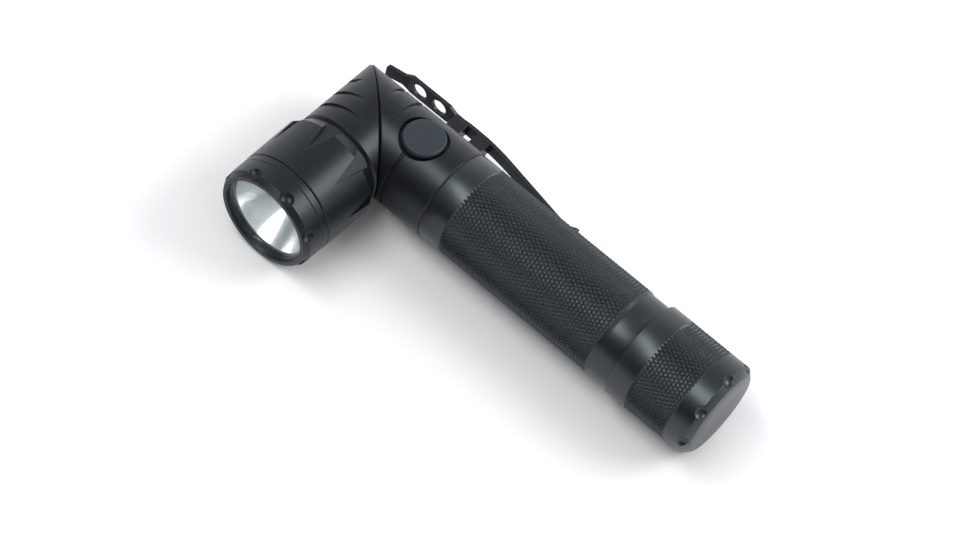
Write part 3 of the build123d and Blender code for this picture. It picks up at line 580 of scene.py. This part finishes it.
class Shell:
    """Points and faces of one closed piece, put together ring by ring."""

    def __init__(self, spindle: Spindle) -> None:
        """Start with nothing on the spindle."""
        self.spindle = spindle
        self.points: list[Vector] = []
        self.faces: list[tuple[int, ...]] = []

    def point(self, place: float, radius: float, angle: float) -> int:
        """Add one point and return its number."""
        self.points.append(self.spindle.spot(place, radius, angle))
        return len(self.points) - 1

    def ring(self, place: float, radius: float, angles: Sequence[float]) -> list[int]:
        """Add a ring of points and return their numbers."""
        return [self.point(place, radius, angle) for angle in angles]

    def bridge(self, first: Sequence[int], second: Sequence[int]) -> None:
        """Join two rings with faces."""
        count = len(first)
        for number in range(count):
            after = (number + 1) % count
            self.faces.append((first[number], first[after], second[after], second[number]))

    def fan(self, ring: Sequence[int], place: float) -> None:
        """Close a ring to a point on the axis."""
        middle = self.point(place, 0.0, 0.0)
        count = len(ring)
        for number in range(count):
            self.faces.append((ring[number], ring[(number + 1) % count], middle))

    def turn(
        self, start: Sequence[int], profile: Iterable[ProfilePoint], angles: Sequence[float]
    ) -> list[int]:
        """Carry on from a ring through each point of a profile.

        Args:
            start: the ring to begin from.
            profile: place and radius of each further ring.
            angles: where the points stand around each ring.

        Returns:
            The last ring.
        """
        last = list(start)
        for place, radius in profile:
            new = self.ring(place, radius, angles)
            self.bridge(last, new)
            last = new
        return last

    def piece(self, name: str) -> bpy.types.Object:
        """Turn the points and faces into an object.

        Args:
            name: the piece's name.

        Returns:
            The new object, in the scene.
        """
        mesh = bpy.data.meshes.new(name)
        mesh.from_pydata([tuple(point) for point in self.points], [], self.faces)
        return smooth_piece(name, mesh)


def smooth_piece(name: str, mesh: bpy.types.Mesh) -> bpy.types.Object:
    """Face a mesh outwards, shade it smooth with sharp edges, and put it in the scene.

    Args:
        name: the piece's name.
        mesh: its mesh.

    Returns:
        The new object.
    """
    shape = bmesh.new()
    shape.from_mesh(mesh)
    bmesh.ops.recalc_face_normals(shape, faces=shape.faces)
    shape.to_mesh(mesh)
    shape.free()
    mesh.polygons.foreach_set("use_smooth", [True] * len(mesh.polygons))
    mesh.set_sharp_from_angle(angle=SHARP_ANGLE)
    made = bpy.data.objects.new(name, mesh)
    bpy.context.scene.collection.objects.link(made)
    return made


def cut_away(piece: bpy.types.Object, cutter: bpy.types.Object) -> bpy.types.Object:
    """Cut one object's shape out of another for good.

    Args:
        piece: what is cut; it is replaced.
        cutter: the shape that is taken away; it is removed.

    Returns:
        The cut piece.
    """
    name = piece.name
    cut = piece.modifiers.new("cut", "BOOLEAN")
    cut.operation = "DIFFERENCE"
    cut.solver = "EXACT"
    cut.object = cutter
    graph = bpy.context.evaluated_depsgraph_get()
    mesh = bpy.data.meshes.new_from_object(piece.evaluated_get(graph))
    for spare in (piece, cutter):
        bpy.data.objects.remove(spare)
    mesh.name = name
    return smooth_piece(name, mesh)


@dataclass
class Knurl:
    """Band of small cut-off pyramids between two families of crossing grooves."""

    start: float
    end: float
    radius: float
    around: int
    rows: int
    depth: float = 0.36 * MM
    flat: float = 0.12
    run_out: float = 0.3 * MM

    def angles(self) -> list[float]:
        """Where the points of a plain ring beside the band stand."""
        step = pi / self.around
        spots = []
        for column in range(0, 2 * self.around, 2):
            spots += [(column - 1) * step, (column - self.flat) * step, (column + self.flat) * step]
        return spots

    def cut(self, shell: Shell, last: Sequence[int]) -> list[int]:
        """Add the band after a ring.

        Args:
            shell: the piece being made.
            last: the ring before the band.

        Returns:
            The plain ring after the band.
        """
        step = pi / self.around
        columns = 2 * self.around
        rise = (self.end - self.start) / self.rows
        low = self.radius - self.depth

        valleys = {}
        for row in range(self.rows + 1):
            for column in range(columns):
                if (row + column) % 2:
                    valleys[row, column] = shell.point(self.start + row * rise, low, column * step)

        first_edge: list[int] = []
        last_edge: list[int] = []
        for row in range(self.rows + 1):
            for column in range(row % 2, columns, 2):
                self._pyramid(shell, valleys, row, column, first_edge, last_edge)

        before = shell.ring(self.start - self.run_out, self.radius, self.angles())
        shell.bridge(last, before)
        shell.bridge(before, first_edge)
        after = shell.ring(self.end + self.run_out, self.radius, self.angles())
        shell.bridge(last_edge, after)
        return after

    def _pyramid(
        self,
        shell: Shell,
        valleys: dict[tuple[int, int], int],
        row: int,
        column: int,
        first_edge: list[int],
        last_edge: list[int],
    ) -> None:
        """Add one cut-off pyramid, or half of one at either end of the band."""
        step = pi / self.around
        columns = 2 * self.around
        rise = (self.end - self.start) / self.rows
        place = self.start + row * rise
        west = valleys[row, (column - 1) % columns]
        east = valleys[row, (column + 1) % columns]
        top_west = shell.point(place, self.radius, (column - self.flat) * step)
        top_east = shell.point(place, self.radius, (column + self.flat) * step)
        top = [top_west]
        if row > 0:
            south = valleys[row - 1, column]
            top_south = shell.point(place - self.flat * rise, self.radius, column * step)
            shell.faces.append((west, south, top_south, top_west))
            shell.faces.append((south, east, top_east, top_south))
            top.append(top_south)
        else:
            first_edge += [west, top_west, top_east]
        top.append(top_east)
        if row < self.rows:
            north = valleys[row + 1, column]
            top_north = shell.point(place + self.flat * rise, self.radius, column * step)
            shell.faces.append((east, north, top_north, top_east))
            shell.faces.append((north, west, top_west, top_north))
            top.append(top_north)
        else:
            last_edge += [west, top_west, top_east]
        shell.faces.append(tuple(top))


@dataclass
class Thread:
    """Screw thread cut into a turned surface."""

    start: float
    end: float
    radius: float
    depth: float
    pitch: float = 1.5 * MM
    rows: int = 40
    fade_rows: float = 8.0
    crest: float = 1.5

    def cut(self, shell: Shell, last: Sequence[int], angles: Sequence[float]) -> list[int]:
        """Add the threaded stretch after a ring and return its last ring."""
        for row in range(self.rows + 1):
            share = row / self.rows
            place = self.start + (self.end - self.start) * share
            fade = min(1.0, self.fade_rows * share, self.fade_rows * (1 - share))
            new = []
            for angle in angles:
                turn = (place / self.pitch - angle / (2 * pi)) % 1.0
                wave = min(1.0, self.crest * abs(2 * turn - 1))
                new.append(shell.point(place, self.radius + self.depth * fade * wave, angle))
            shell.bridge(last, new)
            last = new
        return list(last)


# ---------------------------------------------------------------- sub-assemblies
@dataclass
class SubAssembly:
    """Pieces that are made together and dressed in one finish."""

    corner: Vector
    pieces: list[bpy.types.Object] = field(default_factory=list)

    def handle_spindle(self) -> Spindle:
        """Axis of the handle."""
        return Spindle(self.corner, Vector((1, 0, 0)), Vector((0, 0, 1)), Vector((0, -1, 0)))

    def head_spindle(self) -> Spindle:
        """Axis of the head."""
        return Spindle(self.corner, Vector((0, -1, 0)), Vector((0, 0, 1)), Vector((1, 0, 0)))

    def keep(self, piece: bpy.types.Object, node: str, body: str, slot: str) -> None:
        """Let a piece stand for a CAD node.

        Args:
            piece: the new piece.
            node: the node it stands for.
            body: the body it moves with.
            slot: the name of a material slot; not used.
        """
        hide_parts(node)
        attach(piece, body)
        self.pieces.append(piece)

    def dress(self, finish: Any) -> None:
        """Give every piece one finish."""
        material = finish.make(self.corner)
        for piece in self.pieces:
            piece.data.materials.clear()
            piece.data.materials.append(material)
            report.info("%s: %d faces in %s", piece.name, len(piece.data.polygons), finish.name)


@dataclass
class HandleTube(SubAssembly):
    """Battery tube with its knurled grip, plain tail band and threaded end."""

    start: float = 27.3 * MM
    radius: float = 12.8 * MM
    knurl_start: float = 34.3 * MM
    knurl_end: float = 82.3 * MM
    band_radius: float = 12.4 * MM
    seam: float = 89.4 * MM
    spigot_radius: float = 11.3 * MM
    spigot_end: float = 96.4 * MM
    groove_start: float = 90.7 * MM
    groove_end: float = 92.1 * MM
    groove_radius: float = 10.4 * MM
    thread_depth: float = 0.5 * MM
    bore: float = 9.7 * MM
    socket_radius: float = 11.4 * MM
    socket_end: float = 34.4 * MM
    soften: float = 0.25 * MM
    diamonds: int = 70
    rows: int = 48

    def build(self) -> None:
        """Turn and knurl the tube."""
        shell = Shell(self.handle_spindle())
        knurl = Knurl(self.knurl_start, self.knurl_end, self.radius, self.diamonds, self.rows)
        angles = knurl.angles()
        first = shell.ring(self.start, self.socket_radius, angles)
        last = shell.turn(
            first,
            (
                (self.start, self.radius - self.soften),
                (self.start + 0.3 * self.soften, self.radius - 0.3 * self.soften),
                (self.start + self.soften, self.radius),
            ),
            angles,
        )
        last = knurl.cut(shell, last)
        step = self.radius - self.band_radius
        last = shell.turn(
            last,
            (
                (self.knurl_end + 1.2 * step, self.radius - 0.1 * step),
                (self.knurl_end + 3.2 * step, self.band_radius + 0.1 * step),
                (self.knurl_end + 4.4 * step, self.band_radius),
                (self.seam - self.soften, self.band_radius),
                (self.seam - 0.3 * self.soften, self.band_radius - 0.3 * self.soften),
                (self.seam, self.band_radius - self.soften),
                (self.seam, self.spigot_radius),
                (self.groove_start, self.spigot_radius),
                (self.groove_start, self.groove_radius),
                (self.groove_end, self.groove_radius),
                (self.groove_end, self.spigot_radius),
            ),
            angles,
        )
        thread = Thread(
            self.groove_end + self.soften,
            self.spigot_end - 2 * self.soften,
            self.spigot_radius,
            -self.thread_depth,
        )
        last = thread.cut(shell, last, angles)
        last = shell.turn(
            last,
            (
                (self.spigot_end - self.soften, self.spigot_radius),
                (self.spigot_end, self.spigot_radius - self.soften),
                (self.spigot_end, self.bore),
                (self.socket_end, self.bore),
                (self.socket_end, self.socket_radius),
            ),
            angles,
        )
        shell.bridge(last, first)
        self.keep(shell.piece("knurled_tube"), "battery_tube", "handle", "anodised_aluminium")


@dataclass
class TailCap(SubAssembly):
    """Knurled tail cap with scalloped edge and a threaded bore."""

    seam: float = 89.5 * MM
    radius: float = 13.45 * MM
    knurl_start: float = 96.0 * MM
    knurl_end: float = 108.0 * MM
    bevel_start: float = 113.6 * MM
    face: float = 115.2 * MM
    face_radius: float = 11.6 * MM
    bore: float = 11.4 * MM
    bore_end: float = 97.4 * MM
    cavity_radius: float = 10.2 * MM
    cavity_end: float = 109.4 * MM
    scallops: int = 8
    scallop_radius: float = 2.4 * MM
    scallop_depth: float = 1.4 * MM
    scallop_edge: float = 0.7 * MM
    scallop_turn: float = radians(-2.5)
    soften: float = 0.25 * MM
    thread_depth: float = 0.35 * MM
    thread_rows: int = 90
    diamonds: int = 74
    rows: int = 12

    def build(self) -> None:
        """Turn, knurl and notch the cap."""
        shell = Shell(self.handle_spindle())
        knurl = Knurl(self.knurl_start, self.knurl_end, self.radius, self.diamonds, self.rows)
        angles = knurl.angles()
        first = shell.ring(self.seam, self.bore, angles)
        last = shell.turn(
            first,
            (
                (self.seam, self.radius - self.soften),
                (self.seam + 0.3 * self.soften, self.radius - 0.3 * self.soften),
                (self.seam + self.soften, self.radius),
            ),
            angles,
        )
        last = knurl.cut(shell, last)
        edge = 0.4 * self.soften
        last = shell.turn(
            last,
            (
                (self.bevel_start - edge, self.radius),
                (self.bevel_start + edge, self.radius - 1.2 * edge),
                (self.face - edge, self.face_radius + edge),
                (self.face, self.face_radius - edge),
                (self.face, self.face_radius / 2),
            ),
            angles,
        )
        shell.fan(last, self.face)
        thread = Thread(
            self.seam + 2 * self.soften,
            self.bore_end - 2 * self.soften,
            self.bore,
            self.thread_depth,
            rows=self.thread_rows,
        )
        last = thread.cut(shell, first, angles)
        last = shell.turn(
            last,
            (
                (self.bore_end, self.bore),
                (self.bore_end, self.cavity_radius),
                (self.cavity_end, self.cavity_radius),
                (self.cavity_end, self.cavity_radius / 2),
            ),
            angles,
        )
        shell.fan(last, self.cavity_end)
        cap = cut_away(shell.piece("knurled_tail_cap"), self.scallop_cutter())
        self.keep(cap, "tail_cap", "tail_cap", "anodised_aluminium")

    def scallop_cutter(self) -> bpy.types.Object:
        """Balls standing around the edge of the cap."""
        shape = bmesh.new()
        spindle = self.handle_spindle()
        level = self.radius - self.scallop_depth + self.scallop_radius
        for number in range(self.scallops):
            turn = self.scallop_turn + 2 * pi * number / self.scallops
            middle = Matrix.Translation(spindle.spot(self.face - self.scallop_edge, level, turn))
            bmesh.ops.create_icosphere(shape, subdivisions=5, radius=self.scallop_radius, matrix=middle)
        mesh = bpy.data.meshes.new("scallop_cutter")
        shape.to_mesh(mesh)
        shape.free()
        return smooth_piece("scallop_cutter", mesh)


@dataclass
class SideButton(SubAssembly):
    """Domed silicone button with its stem."""

    dome_rise: float = 0.5 * MM
    rounding: float = 0.75 * MM
    skirt: float = 2.0 * MM
    stem_radius: float = 2.6 * MM
    groove_radius: float = 2.2 * MM
    ring_height: float = 0.55 * MM
    seal_height: float = 0.6 * MM
    sides: int = 96
    dome_steps: int = 14

    def build(self) -> None:
        """Mould the button."""
        low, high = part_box("button_cap")
        ring_low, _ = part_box("button_ring")
        seal_low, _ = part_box("button_seal")
        middle = Vector(((low.x + high.x) / 2, (low.y + high.y) / 2, 0.0))
        radius = (high.x - low.x) / 2
        spindle = Spindle(middle, Vector((0, 0, 1)), Vector((1, 0, 0)), Vector((0, 1, 0)))
        shell = Shell(spindle)
        angles = [2 * pi * side / self.sides for side in range(self.sides)]
        base = high.z - self.skirt
        first = shell.ring(low.z, self.stem_radius, angles)
        outside: list[ProfilePoint] = []
        for cut_low, cut_height in ((ring_low.z, self.ring_height), (seal_low.z, self.seal_height)):
            outside += [
                (cut_low, self.stem_radius),
                (cut_low, self.groove_radius),
                (cut_low + cut_height, self.groove_radius),
                (cut_low + cut_height, self.stem_radius),
            ]
        outside += [(base, self.stem_radius), (base, radius)]
        shoulder = high.z - self.dome_rise - self.rounding
        for step in range(self.dome_steps + 1):
            turn = pi / 2 * step / self.dome_steps
            outside.append(
                (shoulder + self.rounding * sin(turn), radius - self.rounding * (1 - cos(turn)))
            )
        flat_radius = radius - self.rounding
        for step in range(1, self.dome_steps):
            share = 1 - step / self.dome_steps
            rise = self.dome_rise * (1 - share * share)
            outside.append((high.z - self.dome_rise + rise, flat_radius * share))
        last = shell.turn(first, outside, angles)
        shell.fan(last, high.z)
        shell.fan(first, low.z)
        self.keep(shell.piece("domed_button"), "button_cap", "button", "button_rubber")


@dataclass
class ReflectorBowl(SubAssembly):
    """Polished parabolic bowl with its flange."""

    mouth: float = 11.55 * MM
    hole: float = 2.9 * MM
    sink: float = 0.63 * MM
    flange: float = 1.2 * MM
    wall: float = 0.7 * MM
    back_wall: float = 2.2 * MM
    sides: int = 192
    steps: int = 48

    def build(self) -> None:
        """Turn and polish the bowl."""
        low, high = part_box("reflector")
        front = self.corner.y - low.y
        back = self.corner.y - high.y
        outer = (high.x - low.x) / 2
        start = back - self.sink
        focal = self.mouth ** 2 / (4 * (front - start))
        shell = Shell(self.head_spindle())
        angles = [2 * pi * side / self.sides for side in range(self.sides)]
        narrow = (4 * focal * self.sink) ** 0.5
        hole = max(self.hole, narrow)
        first = shell.ring(back, hole, angles)
        inside = []
        for step in range(self.steps + 1):
            radius = hole + (self.mouth - hole) * step / self.steps
            inside.append((start + radius ** 2 / (4 * focal), radius))
        inside += [
            (front, outer),
            (front - self.flange, outer),
            (front - self.flange, self.mouth + self.wall),
            (back, self.hole + self.back_wall),
        ]
        last = shell.turn(first, inside, angles)
        shell.bridge(last, first)
        self.keep(shell.piece("reflector_bowl"), "reflector", "head", "reflector_metal")


@dataclass
class CadPieces:
    """CAD nodes that keep their shape and take a finish."""

    corner: Vector

    def dress(self) -> None:
        """Give each node its finish."""
        for group, (finish, nodes) in CAD_FINISHES.items():
            material = finish.make(self.corner)
            for name in nodes:
                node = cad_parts[name]
                if not node.material_slots:
                    node.data.materials.append(material)
                for place in node.material_slots:
                    place.material = material
                report.info("%s (%s): %s", name, group, finish.name)


# ---------------------------------------------------------------- studio
@dataclass
class Studio:
    """Camera, table and soft lights."""

    corner: Vector
    azimuth: float = radians(26.83)
    elevation: float = radians(55.92)
    roll: float = radians(16.73)
    distance: float = 856.8 * MM
    aim: Vector = field(default_factory=lambda: Vector((49.25, -11.17, 0.0)) * MM)
    lens: float = 127.31
    table_size: float = 12.0
    lamp_distance: float = 1.2
    lamp_tint: Colour = (1.0, 0.995, 0.985)
    sensor: float = 36.0
    far: float = 50.0
    room_tint: Colour = (0.94, 0.96, 1.0)
    wall_span: tuple[float, float] = (-0.8, 0.2)
    wall_light: float = 1.2
    front_wall_light: float = 0.06
    ceiling_span: tuple[float, float] = (0.35, 0.8)
    ceiling_light: float = 0.55

    def build(self) -> None:
        """Set up everything around the torch."""
        self.camera()
        self.table()
        self.lights()
        self.world()
        bpy.context.scene.view_settings.view_transform = "Standard"

    def camera(self) -> None:
        """Make the camera."""
        back = Vector(
            (
                sin(self.azimuth) * cos(self.elevation),
                -cos(self.azimuth) * cos(self.elevation),
                sin(self.elevation),
            )
        )
        level = Vector((cos(self.azimuth), sin(self.azimuth), 0.0))
        upright = back.cross(level)
        right = level * cos(self.roll) + upright * sin(self.roll)
        up = upright * cos(self.roll) - level * sin(self.roll)
        data = bpy.data.cameras.new("view_camera")
        data.lens = self.lens
        data.sensor_width = self.sensor
        data.clip_end = self.far
        made = bpy.data.objects.new("view_camera", data)
        turn = Matrix((right, up, back)).transposed().to_4x4()
        made.matrix_world = Matrix.Translation(self.corner + self.aim + back * self.distance) @ turn
        bpy.context.scene.collection.objects.link(made)
        bpy.context.scene.camera = made

    def table(self) -> None:
        """Lay the table top."""
        half = self.table_size / 2
        mesh = bpy.data.meshes.new("table_top")
        corners = [(-half, -half, 0), (half, -half, 0), (half, half, 0), (-half, half, 0)]
        mesh.from_pydata(corners, [], [(0, 1, 2, 3)])
        made = bpy.data.objects.new("table_top", mesh)
        mesh.materials.append(FloorFinish().make(self.corner))
        bpy.context.scene.collection.objects.link(made)

    def lamp(
        self, name: str, place: Vector, size: tuple[float, float], radiance: float, tint: Colour
    ) -> None:
        """Hang one softbox that faces the torch.

        Args:
            name: its name.
            place: where it hangs.
            size: its width and height.
            radiance: how bright its face is.
            tint: its colour.
        """
        data = bpy.data.lights.new(name, "AREA")
        data.shape = "RECTANGLE"
        data.size, data.size_y = size
        data.energy = radiance * pi * size[0] * size[1]
        data.color = tint
        made = bpy.data.objects.new(name, data)
        made.matrix_world = Matrix.Translation(place) @ place.to_track_quat("Z", "Y").to_matrix().to_4x4()
        bpy.context.scene.collection.objects.link(made)

    def lights(self) -> None:
        """Hang the softboxes."""
        for name, way, size, radiance in (
            ("handle_softbox", (-0.25, -0.32, 0.92), (1.0, 0.34), 7.4),
            ("head_softbox", (0.56, 0.50, 0.66), (0.6, 0.5), 7.6),
        ):
            place = Vector(way).normalized() * self.lamp_distance
            self.lamp(name, place, size, radiance, self.lamp_tint)

    def world(self) -> None:
        """Light the room softly: pale walls behind and beside, a dim wall in front, a dimmer ceiling."""
        world = bpy.data.worlds.new("soft_room")
        world.use_nodes = True
        bench = Bench("room_nodes", world.node_tree)
        _, along, up = bench.parts_of(bench.node("ShaderNodeTexCoord", output="Generated"))
        walls = along.between(*self.wall_span) * self.wall_light + self.front_wall_light
        ceiling = up.between(*self.ceiling_span)
        strength = walls * (1 - ceiling) + ceiling * self.ceiling_light
        shade = bench.node(
            "ShaderNodeBackground", sockets={"Color": (*self.room_tint, 1.0), "Strength": strength}
        )
        surface = bench.tree.nodes.new("ShaderNodeOutputWorld").inputs["Surface"]
        bench.tree.links.new(shade.socket, surface)
        bpy.context.scene.world = world


# ---------------------------------------------------------------- making it
def find_corner() -> Vector:
    """Where the handle's axis meets the head's, from the CAD boxes."""
    lens_low, lens_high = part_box("lens")
    tube_low, tube_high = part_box("battery_tube")
    lens_middle = (lens_low + lens_high) / 2
    tube_middle = (tube_low + tube_high) / 2
    return Vector((lens_middle.x, tube_middle.y, tube_middle.z))


def main() -> None:
    """Build the torch and its surroundings."""
    logging.basicConfig(level=logging.INFO, format="%(name)s: %(message)s")
    corner = find_corner()
    Studio(corner).build()
    CadPieces(corner).dress()
    for assembly, finish in (
        (HandleTube(corner), KNURL_ANODISE),
        (TailCap(corner), KNURL_ANODISE),
        (SideButton(corner), BUTTON),
        (ReflectorBowl(corner), BOWL),
    ):
        assembly.build()
        assembly.dress(finish)


if __name__ == "__main__":
    main()
